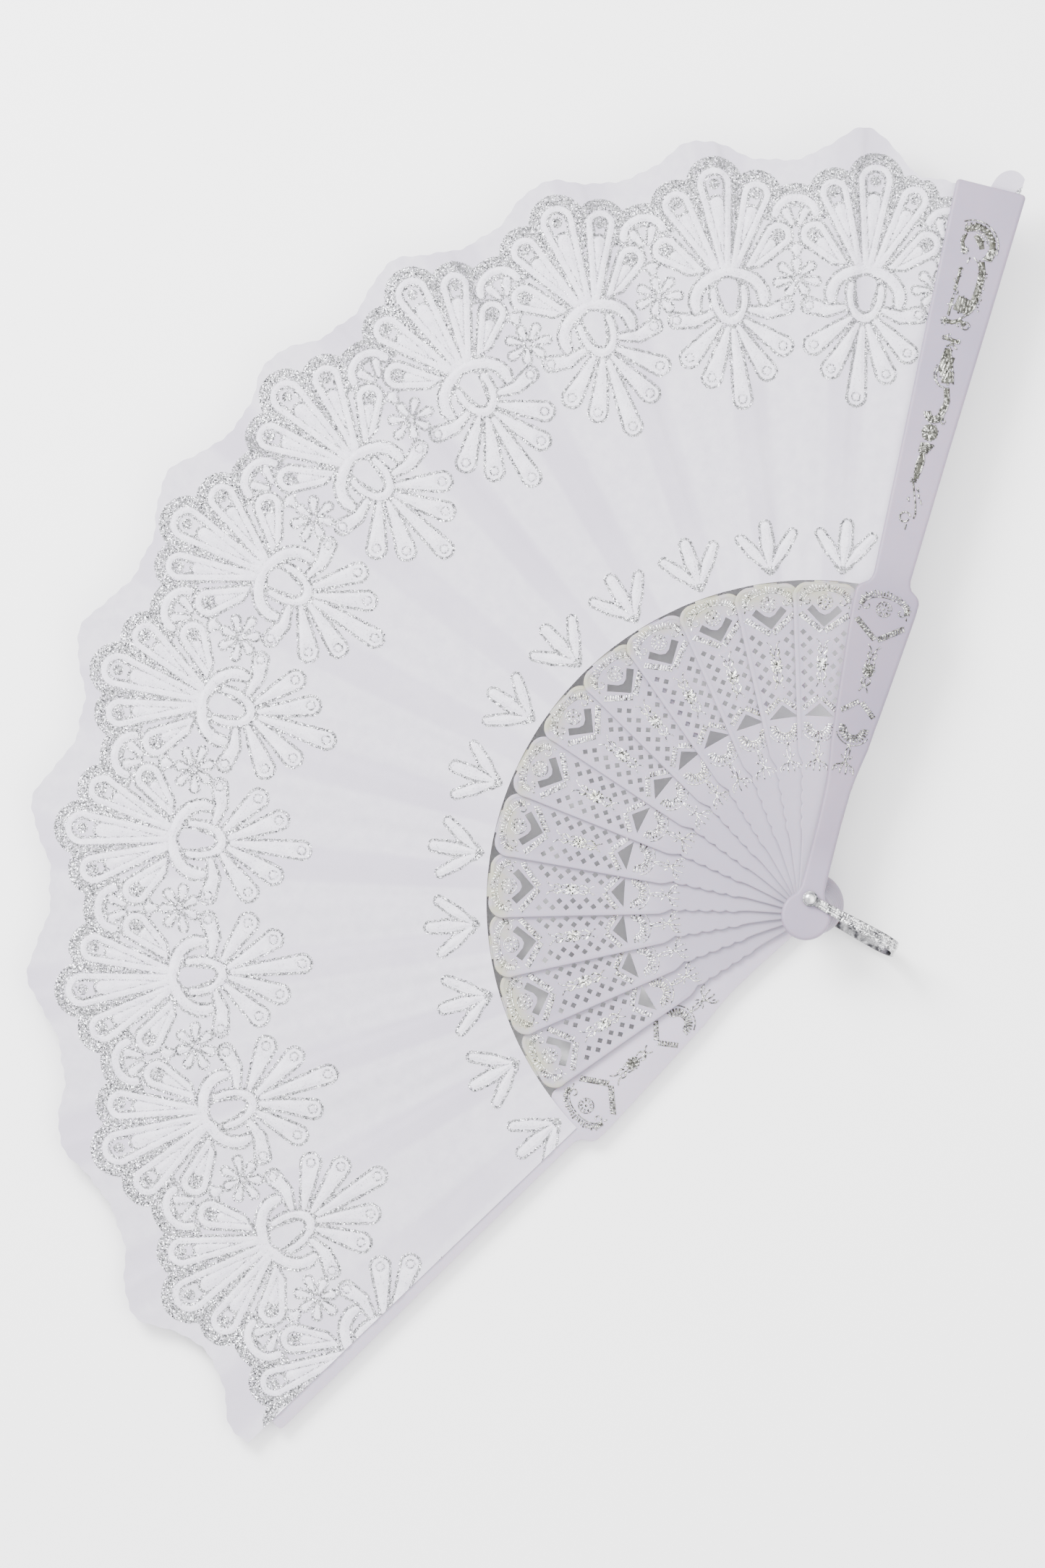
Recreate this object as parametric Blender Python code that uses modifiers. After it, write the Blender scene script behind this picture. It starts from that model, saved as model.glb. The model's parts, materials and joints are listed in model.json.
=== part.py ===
"""Folding hand fan: two guards and twelve pierced sticks on one rivet, a cloth leaf and a metal loop.

The open fan lies on its back. The rivet's axis is Z, the middle of the open fan points along +Y, and
z = 0 is the flat underside of the rivet. A stick is drawn in its own frame: u across it, v outwards
from the rivet. The leaf is one cloth on the real fan; here each stick carries the stretch of cloth
that is glued to it, as a flat panel that reaches half way to its neighbours.
"""

import math

import bmesh
import bpy

MM = 0.001

# Driving dimensions, in millimetres and degrees.
# How far each stick stands open from the one before it, from the rear guard to the front guard.
STICK_GAPS = (11.8, 11.3, 11.2, 11.2, 11.5, 11.7, 11.8, 11.4, 10.3, 11.3, 10.8, 10.9, 11.3)
GUARD_LENGTH = 219.5
GORGE_TOP = 94.5
LEAF_INNER = 95.2
LEAF_VALLEY = 225.0
LEAF_PEAK = 232.5
SCALLOP_PITCH = 12.42
FIRST_SCALLOP = 15.2
LEAF_PAST_REAR_GUARD = 1.8
LEAF_PAST_FRONT_GUARD = 2.3

# The stack along the rivet, from below.
RIVET_HEAD = 0.8
STRIP_THICKNESS = 0.7
GUARD_THICKNESS = 1.8
STICK_THICKNESS = 0.85
RIB_THICKNESS = 0.4
LEAF_THICKNESS = 0.25
GAP = 0.28
STICK_PITCH = STICK_THICKNESS + GAP
LEAF_ABOVE_STICK = 0.55
LEAF_GAP = 0.2

# The head and the neck that every stick shares.
HEAD_RADIUS = 7.0
HEAD_DROP = 4.0
PIN_RADIUS = 1.5
HOLE_RADIUS = 1.75
ROUND_HOLE_SIDES = 14

# The pierced part of a stick, called its gorge.
GORGE_CORNER = 4.6
GORGE_START = 43.0
SCALLOP_START = 25.0
EDGE_SCALLOPS = 4
DIAMOND_HALF = 0.85
DIAMOND_STEP = 4.0
RIB_ROOT = 91.0
RIB_END = 214.0
RIB_ROOT_HALF = 3.5
RIB_END_HALF = 2.4

# The metal loop, a flat strip bent round the fan's head.
LOOP_LENGTH = 29.0
LOOP_CORNER = 6.0
LOOP_EYE_RADIUS = 2.7
LOOP_NECK_HALF = 1.25
LOOP_END_HALF = 1.7
LOOP_DIRECTION = -88.0

STICK_COUNT = len(STICK_GAPS) - 1
ANGLES = [90 + sum(STICK_GAPS) / 2 - sum(STICK_GAPS[:i]) for i in range(STICK_COUNT + 2)]

REAR_EYE_Z = RIVET_HEAD + GAP
REAR_GUARD_Z = REAR_EYE_Z + STRIP_THICKNESS + GAP
REAR_LEAF_Z = REAR_GUARD_Z + GUARD_THICKNESS + LEAF_GAP
FIRST_STICK_Z = REAR_LEAF_Z + LEAF_THICKNESS + LEAF_GAP
FRONT_LEAF_Z = FIRST_STICK_Z + STICK_PITCH * STICK_COUNT
FRONT_GUARD_Z = FRONT_LEAF_Z + LEAF_THICKNESS + LEAF_GAP
FRONT_EYE_Z = FRONT_GUARD_Z + GUARD_THICKNESS + GAP
FRONT_HEAD_Z = FRONT_EYE_Z + STRIP_THICKNESS + GAP


def clear_scene():
    for obj in list(bpy.data.objects):
        bpy.data.objects.remove(obj, do_unlink=True)


def make_collection(name):
    collection = bpy.data.collections.new(name)
    bpy.context.scene.collection.children.link(collection)
    return collection


def make_material(name, colour, roughness, metallic=0.0):
    material = bpy.data.materials.new(name)
    material.use_nodes = True
    shader = material.node_tree.nodes["Principled BSDF"]
    shader.inputs["Base Color"].default_value = (*colour, 1.0)
    shader.inputs["Roughness"].default_value = roughness
    shader.inputs["Metallic"].default_value = metallic
    return material


def arc(centre, radius, start, end, steps):
    """Points on an arc, its angles in degrees from +u towards +v."""
    angles = [math.radians(start + (end - start) * i / steps) for i in range(steps + 1)]
    return [(centre[0] + radius * math.cos(a), centre[1] + radius * math.sin(a)) for a in angles]


def mirrored(points):
    """The same points on the other side of the centre line, in the order that closes the outline."""
    return [(-u, v) for u, v in reversed(points)]


def pin_hole():
    return arc((0, 0), HOLE_RADIUS, 0, 360, ROUND_HOLE_SIDES)[:-1]


def head_side():
    """The right side of the round head, from its lowest point to the start of the neck."""
    return arc((0, -HEAD_DROP), HEAD_RADIUS, -90, 60, 8)


def gorge_half(v):
    return 2.2 + 0.0815 * v


def scalloped_side():
    """The wavy edge between the neck and the gorge."""
    length = (GORGE_START - 2.5 - SCALLOP_START) / EDGE_SCALLOPS
    points = []
    for i in range(EDGE_SCALLOPS):
        v = SCALLOP_START + i * length
        half = 3.55 + 0.16 * i
        points += [(half - 0.25, v), (half + 0.3, v + 0.35 * length), (half + 0.3, v + 0.7 * length)]
    return points + [(half + 0.05, GORGE_START - 2.5)]


def stick_outline():
    corner_u = gorge_half(GORGE_TOP) - GORGE_CORNER - 0.2
    side = head_side()[:-1]
    side += [(3.5, 3.2), (3.3, 8.0), (3.3, 18.0)]
    side += scalloped_side()
    side += [(gorge_half(GORGE_START) - 0.6, GORGE_START - 1.6), (gorge_half(GORGE_START), GORGE_START)]
    side += arc((corner_u, GORGE_TOP - GORGE_CORNER), GORGE_CORNER, 3, 90, 5)
    return side + mirrored(side)[:-1]


def guard_outline():
    """A guard: its gorge has no holes, and its blade widens like a sector of the fan."""
    side = head_side()[:-1]
    side += [(3.6, 3.4), (3.5, 12.0), (3.5, 24.0), (3.8, 34.0), (4.7, 41.0), (5.7, 47.0), (6.1, 52.0)]
    side += [(7.4, 65.0), (9.6, 89.0)]
    side += arc((6.2, 92.2), 3.5, 5, 65, 3)
    side += [(6.1, 97.0), (5.6, 99.0)]
    side += [(10.6, GUARD_LENGTH - 1.0), (9.7, GUARD_LENGTH)]
    return side + mirrored(side)[:-1]


def diamond(centre_u, centre_v):
    return arc((centre_u, centre_v), DIAMOND_HALF, 0, 360, 4)[:-1]


def piercings():
    """The holes of a gorge: a heart's V, a lattice of diamonds on each side, and a triangle."""
    holes = [
        [(0, 81.3), (5.0, 86.2), (3.5, 87.7), (0, 84.3), (-3.5, 87.7), (-5.0, 86.2)],
        [(-4.2, 54.6), (4.2, 54.6), (0, 58.3)],
    ]
    for side in (-1, 1):
        holes += [diamond(side * (2.65 + 0.33 * i), 61.6 + DIAMOND_STEP * i) for i in range(5)]
        holes += [diamond(side * (4.45 + 0.31 * i), 59.5 + DIAMOND_STEP * i) for i in range(6)]
    return holes


def rib_outline():
    side = [(RIB_ROOT_HALF, RIB_ROOT), (RIB_END_HALF, RIB_END - 2.0), (RIB_END_HALF - 1.0, RIB_END)]
    return side + mirrored(side)


def scallop_radius(angle):
    """The leaf's outer radius at an angle round the rivet, in degrees."""
    phase = 2 * math.pi * (angle - FIRST_SCALLOP) / SCALLOP_PITCH
    bump = (0.5 + 0.5 * math.cos(phase)) ** 1.6
    return LEAF_VALLEY + (LEAF_PEAK - LEAF_VALLEY) * bump


def at_angle(angle, radius):
    """A point in a stick's frame, at an angle to the left of its centre line."""
    turned = math.radians(90 + angle)
    return (radius * math.cos(turned), radius * math.sin(turned))


def leaf_outline(stick_angle, past_left, past_right):
    """A stretch of the leaf in its stick's frame, reaching these angles past the centre line."""
    reach = past_left + past_right
    steps = max(4, round(reach))
    angles = [-past_right + reach * i / steps for i in range(steps + 1)]
    outer = [at_angle(a, scallop_radius(stick_angle + a)) for a in angles]
    inner = [at_angle(past_left - reach * i / 4, LEAF_INNER) for i in range(5)]
    return outer + inner


def flat_curve(name, outlines, thickness):
    """A flat plate as a 2D curve: the first outline is its edge, and the others are holes."""
    curve = bpy.data.curves.new(name, "CURVE")
    curve.dimensions = "2D"
    curve.fill_mode = "BOTH"
    curve.extrude = thickness / 2 * MM
    for outline in outlines:
        spline = curve.splines.new("POLY")
        spline.points.add(len(outline) - 1)
        for point, (u, v) in zip(spline.points, outline):
            point.co = (u * MM, v * MM, 0, 1)
        spline.use_cyclic_u = True
    return curve


def place(obj, angle, z, collection, material):
    """Stands an object's own +Y at an angle round the rivet, with its middle at height z."""
    obj.location = (0, 0, z * MM)
    obj.rotation_euler = (0, 0, math.radians(angle - 90))
    collection.objects.link(obj)
    obj.data.materials.clear()
    obj.data.materials.append(material)
    return obj


def mesh_from_curve(curve):
    """The curve's plate as a mesh whose caps are joined to its sides."""
    helper = bpy.data.objects.new("helper", curve)
    bpy.context.scene.collection.objects.link(helper)
    bpy.context.view_layer.update()
    graph = bpy.context.evaluated_depsgraph_get()
    mesh = bpy.data.meshes.new_from_object(helper.evaluated_get(graph))
    bpy.data.objects.remove(helper, do_unlink=True)
    work = bmesh.new()
    work.from_mesh(mesh)
    bmesh.ops.remove_doubles(work, verts=work.verts, dist=0.001 * MM)
    bmesh.ops.recalc_face_normals(work, faces=work.faces)
    work.to_mesh(mesh)
    work.free()
    return mesh


def make_cutter(name, mesh, z, cutters):
    obj = bpy.data.objects.new(name, mesh)
    obj.location.z = z * MM
    obj.hide_render = True
    obj.display_type = "WIRE"
    cutters.objects.link(obj)
    return obj


def applied_mesh(obj, name):
    """The object's mesh with its modifiers applied; the object is removed."""
    bpy.context.view_layer.update()
    graph = bpy.context.evaluated_depsgraph_get()
    mesh = bpy.data.meshes.new_from_object(obj.evaluated_get(graph))
    mesh.name = name
    bpy.data.objects.remove(obj, do_unlink=True)
    return mesh


def stick_mesh(cutters):
    """One stick: the pierced plate joined to the thin rib that runs on behind the leaf."""
    plate = mesh_from_curve(flat_curve("plate", [stick_outline(), pin_hole(), *piercings()], STICK_THICKNESS))
    rib = mesh_from_curve(flat_curve("rib", [rib_outline()], RIB_THICKNESS))
    body = bpy.data.objects.new("stick_body", plate)
    bpy.context.scene.collection.objects.link(body)
    rib_z = 0.03 + RIB_THICKNESS / 2 - STICK_THICKNESS / 2
    join = body.modifiers.new("rib", "BOOLEAN")
    join.operation = "UNION"
    join.object = make_cutter("rib_shape", rib, rib_z, cutters)
    return applied_mesh(body, "stick")


def make_sticks(collection, cutters, plastic):
    mesh = stick_mesh(cutters)
    for number in range(1, STICK_COUNT + 1):
        stick = bpy.data.objects.new(f"stick_{number:02d}", mesh)
        z = FIRST_STICK_Z + STICK_PITCH * (number - 1) + STICK_THICKNESS / 2
        place(stick, ANGLES[number], z, collection, plastic)


def make_guards(collection, plastic):
    plate = flat_curve("guard", [guard_outline(), pin_hole()], GUARD_THICKNESS)
    places = (("rear_guard", ANGLES[0], REAR_GUARD_Z), ("front_guard", ANGLES[-1], FRONT_GUARD_Z))
    for name, angle, z in places:
        guard = bpy.data.objects.new(name, plate)
        place(guard, angle, z + GUARD_THICKNESS / 2, collection, plastic)


def make_leaf(collection, cloth):
    """One flat panel of cloth for each stick, numbered from the rear guard's, which is 00."""
    heights = [FIRST_STICK_Z + STICK_PITCH * i + LEAF_ABOVE_STICK for i in range(STICK_COUNT)]
    heights = [REAR_LEAF_Z, *heights, FRONT_LEAF_Z]
    reaches = [LEAF_PAST_REAR_GUARD, *(gap / 2 for gap in STICK_GAPS), LEAF_PAST_FRONT_GUARD]
    for number, (angle, z) in enumerate(zip(ANGLES, heights)):
        name = f"leaf_{number:02d}"
        outline = leaf_outline(angle, reaches[number], reaches[number + 1])
        curve = flat_curve(name, [outline], LEAF_THICKNESS)
        place(bpy.data.objects.new(name, curve), angle, z + LEAF_THICKNESS / 2, collection, cloth)


def make_rivet(collection, steel):
    """The rivet: a flat head below, a shank through every stick, and a domed head in front."""
    dome_base = FRONT_HEAD_Z + 0.3
    profile = [(0, dome_base + 1.0)]
    profile += [(1.9 * math.sin(t), dome_base + math.cos(t)) for t in (0.4, 0.8, 1.2, math.pi / 2)]
    profile += [(1.9, FRONT_HEAD_Z), (PIN_RADIUS, FRONT_HEAD_Z), (PIN_RADIUS, RIVET_HEAD)]
    profile += [(2.6, RIVET_HEAD), (2.6, 0.3), (2.3, 0), (0, 0)]
    mesh = bpy.data.meshes.new("pivot_rivet")
    edges = [(i, i + 1) for i in range(len(profile) - 1)]
    mesh.from_pydata([(r * MM, 0, z * MM) for r, z in profile], edges, [])
    rivet = bpy.data.objects.new("pivot_rivet", mesh)
    collection.objects.link(rivet)
    mesh.materials.append(steel)
    turn = rivet.modifiers.new("turn", "SCREW")
    turn.steps = 20
    turn.render_steps = 20
    turn.use_merge_vertices = True
    turn.merge_threshold = 0.00001


def loop_path():
    """The strip's middle line from the front eye to the rear eye, as (v, z, direction of travel)."""
    top = FRONT_EYE_Z + STRIP_THICKNESS / 2
    bottom = REAR_EYE_Z + STRIP_THICKNESS / 2
    straight = LOOP_LENGTH - STRIP_THICKNESS / 2 - LOOP_CORNER
    arm = [-LOOP_EYE_RADIUS * math.cos(math.radians(a)) for a in range(0, 180, 30)]
    arm += [3.4, 10.0, 17.0]
    path = [(v, top) for v in arm]
    path += [(v, z) for v, z in arc((straight, top - LOOP_CORNER), LOOP_CORNER, 90, 0, 5)]
    path += [(v, z) for v, z in arc((straight, bottom + LOOP_CORNER), LOOP_CORNER, 0, -90, 5)]
    return path + [(v, bottom) for v in reversed(arm)]


def loop_half_width(v):
    if v < 3.0:
        eye = LOOP_EYE_RADIUS**2 - v**2
        return max(LOOP_NECK_HALF if v > 0 else 0.45, math.sqrt(max(eye, 0)))
    share = min(1.0, v / (LOOP_LENGTH - LOOP_CORNER))
    return LOOP_NECK_HALF + (LOOP_END_HALF - LOOP_NECK_HALF) * share


def make_loop(collection, cutters, steel):
    """The engraved loop: one strip with an eye at each end, on the outer ends of the rivet."""
    work = bmesh.new()
    rows = []
    for v, z in loop_path():
        half = loop_half_width(v)
        rows.append([work.verts.new((side * half * MM, v * MM, z * MM)) for side in (-1, 1)])
    for (left, right), (next_left, next_right) in zip(rows, rows[1:]):
        work.faces.new((left, right, next_right, next_left))
    mesh = bpy.data.meshes.new("loop_strip")
    work.to_mesh(mesh)
    work.free()
    strip = bpy.data.objects.new("loop_body", mesh)
    bpy.context.scene.collection.objects.link(strip)
    wall = strip.modifiers.new("wall", "SOLIDIFY")
    wall.thickness = STRIP_THICKNESS * MM
    wall.offset = 0
    wall.use_even_offset = True
    drill = bpy.data.meshes.new("eye_drill")
    work = bmesh.new()
    bmesh.ops.create_cone(work, cap_ends=True, segments=ROUND_HOLE_SIDES, radius1=HOLE_RADIUS * MM,
                          radius2=HOLE_RADIUS * MM, depth=2 * FRONT_HEAD_Z * MM)
    work.to_mesh(drill)
    work.free()
    eyes = strip.modifiers.new("eyes", "BOOLEAN")
    eyes.operation = "DIFFERENCE"
    eyes.object = make_cutter("eye_cutter", drill, FRONT_HEAD_Z / 2, cutters)
    loop = bpy.data.objects.new("bail_loop", applied_mesh(strip, "bail_loop"))
    place(loop, LOOP_DIRECTION, 0, collection, steel)


def main():
    clear_scene()
    fan = make_collection("folding_fan")
    cutters = make_collection("cutters")
    plastic = make_material("moulded_plastic", (0.78, 0.75, 0.82), 0.45)
    cloth = make_material("leaf_cloth", (0.86, 0.86, 0.88), 0.9)
    steel = make_material("plated_steel", (0.80, 0.80, 0.80), 0.25, 1.0)
    make_guards(fan, plastic)
    make_sticks(fan, cutters, plastic)
    make_leaf(fan, cloth)
    make_rivet(fan, steel)
    make_loop(fan, cutters, steel)


main()
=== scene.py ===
"""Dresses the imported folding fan: moulded guards and pierced sticks with foil-stamped relief, a
pleated cloth leaf with a raised white print edged in glitter, a rivet and an engraved metal loop.

Sizes are in millimetres and turned to metres where a mesh is made. A stick is modelled in its own
frame, u across it, v outwards from the rivet, and then turned round the rivet to its place.
"""

import json
import math
import random

import bmesh
import bpy
import numpy as np
from mathutils import Matrix, Vector


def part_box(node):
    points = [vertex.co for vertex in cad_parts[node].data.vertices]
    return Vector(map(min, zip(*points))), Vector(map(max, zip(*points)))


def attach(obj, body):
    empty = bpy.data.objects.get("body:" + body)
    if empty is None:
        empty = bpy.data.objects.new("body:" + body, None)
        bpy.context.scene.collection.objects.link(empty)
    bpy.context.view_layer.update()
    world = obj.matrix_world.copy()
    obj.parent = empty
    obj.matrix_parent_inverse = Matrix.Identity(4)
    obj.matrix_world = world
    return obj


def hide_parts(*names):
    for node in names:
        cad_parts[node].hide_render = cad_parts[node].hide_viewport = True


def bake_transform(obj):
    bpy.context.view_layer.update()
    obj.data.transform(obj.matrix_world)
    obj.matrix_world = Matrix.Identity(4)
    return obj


MM = 0.001

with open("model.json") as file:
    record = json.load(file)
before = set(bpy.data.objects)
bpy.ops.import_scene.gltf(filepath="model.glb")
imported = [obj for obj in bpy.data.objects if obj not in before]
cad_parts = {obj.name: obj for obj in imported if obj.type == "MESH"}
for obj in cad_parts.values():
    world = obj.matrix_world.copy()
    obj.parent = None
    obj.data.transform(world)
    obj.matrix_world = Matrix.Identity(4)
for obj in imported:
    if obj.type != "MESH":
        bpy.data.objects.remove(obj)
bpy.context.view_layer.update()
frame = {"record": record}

FOLDS = sorted(
    (joint for joint in frame["record"]["behaviour"]["joints"] if joint["name"].startswith("fold_")),
    key=lambda joint: joint["name"],
)
GAPS = [joint["range_deg"][1] for joint in FOLDS]
ANGLES = [90 + sum(GAPS) / 2 - sum(GAPS[:i]) for i in range(len(GAPS) + 1)]
STICKS = range(1, len(GAPS))
BODIES = ["rear_guard_body", *(f"stick_{i:02d}_body" for i in STICKS), "front_guard_body"]
LAST = len(BODIES) - 1


def heights(node):
    """A node's lowest and highest z, in millimetres."""
    low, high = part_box(node)
    return low[2] / MM, high[2] / MM


# ---- shader maths


class Value:
    """A shader socket that can be used in arithmetic; each operator adds a Math node."""

    def __init__(self, finish, socket):
        self.finish = finish
        self.socket = socket

    def maths(self, operation, *others):
        return self.finish.node("ShaderNodeMath", {"operation": operation}, [self, *others])

    def __add__(self, other):
        return self.maths("ADD", other)

    __radd__ = __add__

    def __sub__(self, other):
        return self.maths("SUBTRACT", other)

    def __rsub__(self, other):
        return self.finish.node("ShaderNodeMath", {"operation": "SUBTRACT"}, [other, self])

    def __mul__(self, other):
        return self.maths("MULTIPLY", other)

    __rmul__ = __mul__

    def __gt__(self, other):
        return self.maths("GREATER_THAN", other)

    def clamp(self):
        return self.finish.node("ShaderNodeMath", {"operation": "ADD", "use_clamp": True}, [self, 0.0])


class Finish:
    """One material: its node tree, its Principled shader, and the calls that add nodes to it."""

    def __init__(self, name, **uniform):
        self.material = bpy.data.materials.new(name)
        self.material.use_nodes = True
        self.tree = self.material.node_tree
        self.shader = self.tree.nodes["Principled BSDF"]
        for socket, value in uniform.items():
            self.shader.inputs[socket.replace("_", " ")].default_value = value

    def node(self, kind, settings, inputs, output=0):
        """Adds a node, sets it up, and joins or sets its sockets, which are named or in order."""
        node = self.tree.nodes.new(kind)
        for name, value in settings.items():
            setattr(node, name, value)
        pairs = inputs.items() if isinstance(inputs, dict) else enumerate(inputs)
        for key, value in pairs:
            self.join(node.inputs[key], value)
        return Value(self, node.outputs[output])

    def join(self, socket, value):
        if isinstance(value, Value):
            self.tree.links.new(value.socket, socket)
        else:
            socket.default_value = value

    def set(self, **inputs):
        for name, value in inputs.items():
            self.join(self.shader.inputs[name.replace("_", " ")], value)

    def place(self):
        return self.node("ShaderNodeTexCoord", {}, {}, "Object")

    def noise(self, scale, detail=2.0, roughness=0.5, place=None):
        inputs = {
            "Vector": place or self.place(), "Scale": scale, "Detail": detail, "Roughness": roughness,
        }
        return self.node("ShaderNodeTexNoise", {}, inputs, "Fac")

    def attribute(self, name):
        return self.node("ShaderNodeAttribute", {"attribute_name": name}, {}, "Fac")

    def mix(self, share, first, second):
        """A colour between two colours."""
        inputs = {0: share, 6: first, 7: second}
        return self.node("ShaderNodeMix", {"data_type": "RGBA"}, inputs, 2)

    def channels(self, colour):
        """The red, green and blue of a colour, as three values."""
        red = self.node("ShaderNodeSeparateColor", {}, [colour])
        return [Value(self, output) for output in red.socket.node.outputs]

    def vectors(self, operation, *inputs):
        return self.node("ShaderNodeVectorMath", {"operation": operation}, inputs, "Vector")

    def bump(self, height, distance, strength):
        inputs = {"Height": height, "Distance": distance, "Strength": strength}
        return self.node("ShaderNodeBump", {}, inputs, "Normal")

    def blend_normals(self, share, first, second):
        inputs = {0: share, 4: first, 5: second}
        return self.node("ShaderNodeMix", {"data_type": "VECTOR"}, inputs, 1)


STAIN_FROM = 0.087
EYE_REACH = 0.009
STAINED = (0.31, 0.31, 0.20, 1)
# The colour of the painted shade on the necks.
PAINTED_NECK_SHADE = (0.135, 0.11, 0.145, 1)
# The colour of painted groove shade on the stamped foil.
PAINTED_GROOVE_SHADE = (0.05, 0.05, 0.045, 1)
THREAD_TURNS = 13500


def moulded_plastic(name, warm, cool, neck_shade, stain=0.0, reached=0.104):
    """Satin lilac-white moulding: cloudy resin, flow marks and a fine grain.

    Stain is how far the gorge's top has yellowed. A painted shade darkens the neck from the eye out,
    by the share and to the reach given. The distances from the rivet are in metres.
    """
    finish = Finish(name, Specular_IOR_Level=0.45, Subsurface_Weight=0.12, Subsurface_Scale=0.004)
    cloud = finish.noise(38, 3)
    fine = finish.noise(420, 4, 0.6)
    grain = finish.noise(3800, 2)
    share = (cloud * 1.5 - 0.35 + fine * 0.3 - 0.15).clamp()
    colour = finish.mix(share, warm, cool)
    flat = finish.vectors("MULTIPLY", finish.place(), (1, 1, 0))
    reach = finish.node("ShaderNodeVectorMath", {"operation": "LENGTH"}, [flat], "Value")
    if stain:
        near_top = ((reach - STAIN_FROM) * 220).clamp() * ((finish.noise(130, 2) - 0.36) * 4.5).clamp()
        colour = finish.mix(near_top * stain, colour, STAINED)
    # Painted shade: the neck is darkened from the eye out to the given reach.
    past_eye = ((reach - EYE_REACH) * 120).clamp()
    neck_shade_mask = past_eye * ((reached - reach) * 70).clamp() * (cloud * 0.8 + 0.6).clamp()
    colour = finish.mix(neck_shade_mask * neck_shade, colour, PAINTED_NECK_SHADE)
    finish.set(
        Base_Color=colour,
        Roughness=0.36 + cloud * 0.14 + fine * 0.1,
        Normal=finish.bump(grain * 0.35 + fine, 0.00006, 0.6),
    )
    return finish.material


def stamped_foil(name, clean, tinted, tint_scale, shade_cutoff):
    """Hot-stamped silver foil, crazed and tinted in places, with patches of painted groove shade."""
    finish = Finish(name, Metallic=1.0)
    tint = finish.noise(tint_scale, 2)
    craze = finish.noise(2600, 4, 0.7)
    # Noise that places the painted groove shade, and varies the roughness too.
    hollow = finish.noise(1250, 3, 0.6)
    colour = finish.mix((tint * 3.4 - 1.55).clamp(), clean, tinted)
    # Painted groove shade: dark patches laid by noise, fewer the higher the cutoff.
    colour = finish.mix((hollow * 7 - shade_cutoff).clamp(), colour, PAINTED_GROOVE_SHADE)
    finish.set(
        Base_Color=colour,
        Roughness=0.12 + hollow * 0.2,
        Normal=finish.bump(craze, 0.00014, 0.9),
    )
    return finish.material


def plated_steel(name, dull, clean):
    """Nickel plating with fine scratches, pitting and patches between a dull and a clean grey."""
    finish = Finish(name, Metallic=1.0)
    pits = finish.noise(1700, 4, 0.65)
    haze = finish.noise(520, 3, 0.55)
    scratch = finish.noise(900, 3, 0.8, finish.vectors("MULTIPLY", finish.place(), (1, 7, 1)))
    colour = finish.mix((haze * 3.6 - 1.3).clamp(), dull, clean)
    finish.set(
        Base_Color=finish.mix((pits * 4 - 2.3).clamp() * 0.5, colour, dull),
        Roughness=0.10 + haze * 0.12 + scratch * 0.1,
        Normal=finish.bump(pits * 0.6 + scratch * 0.6, 0.0001, 0.6),
    )
    return finish.material


def printed_cloth(name):
    """Fine plain-woven cloth with a raised rubbery white print and glitter glued round its shapes."""
    finish = Finish(name, Sheen_Weight=0.25, Sheen_Roughness=0.45, Specular_IOR_Level=0.3)
    across = finish.attribute("across")
    outwards = finish.attribute("outwards")
    fold = finish.attribute("fold_shade")
    threads = (across * THREAD_TURNS).maths("SINE") * (outwards * THREAD_TURNS).maths("SINE")
    slub = finish.noise(300, 4, 0.6)
    cloud = finish.noise(26, 2)
    puff = (finish.attribute("puff_depth") * 6 + 0.5).clamp()
    speckle = finish.noise(2400, 2)
    glitter_edge = finish.attribute("glitter_depth") + speckle * 0.9 - 0.45
    glitter = (glitter_edge * 5 + 0.5).clamp()

    weave = finish.mix((slub * 2 - 0.5).clamp(), (0.50, 0.474, 0.55, 1), (0.575, 0.552, 0.615, 1))
    # Painted fold shade on each pleat's short face, mixed with a cloudy random tone.
    shaded = (fold * (cloud * 1.2) + cloud * 0.4 - 0.2).clamp()
    weave = finish.mix(shaded, weave, (0.44, 0.402, 0.495, 1))
    weave = finish.mix((threads * 0.06 + 0.03).clamp(), weave, (0.42, 0.405, 0.45, 1))
    mottle = (slub * 1.8 + speckle * 1.1 - 0.95).clamp()
    print_white = finish.mix(mottle, (0.55, 0.525, 0.605, 1), (0.70, 0.68, 0.745, 1))
    colour = finish.mix(puff, weave, print_white)

    cells = {"Vector": finish.place(), "Scale": 3300.0}
    flakes = finish.node("ShaderNodeTexVoronoi", {}, cells, "Color")
    brightness, kept, astray = finish.channels(flakes)
    flake_colour = finish.mix(brightness, (0.05, 0.05, 0.055, 1), (0.46, 0.46, 0.48, 1))
    strewn = puff * (astray > 0.945) * 0.4
    shown = (glitter * (kept > 0.14) + strewn).clamp()
    tilt = finish.vectors("SUBTRACT", flakes, (0.5, 0.5, 0.5))
    tilt = finish.vectors("MULTIPLY", tilt, (0.9, 0.9, 0.9))
    normal = finish.node("ShaderNodeNewGeometry", {}, {}, "Normal")
    tilted = finish.vectors("NORMALIZE", finish.vectors("ADD", normal, tilt))
    soft = finish.bump(threads * 0.5 + slub * 1.4, 0.00004, 0.5)
    finish.set(
        Base_Color=finish.mix(shown, colour, flake_colour),
        Metallic=shown * 0.9,
        Roughness=(0.86 - puff * 0.32) * (1 - shown) + shown * 0.3,
        Normal=finish.blend_normals(shown, soft, tilted),
    )
    return finish.material


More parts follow.
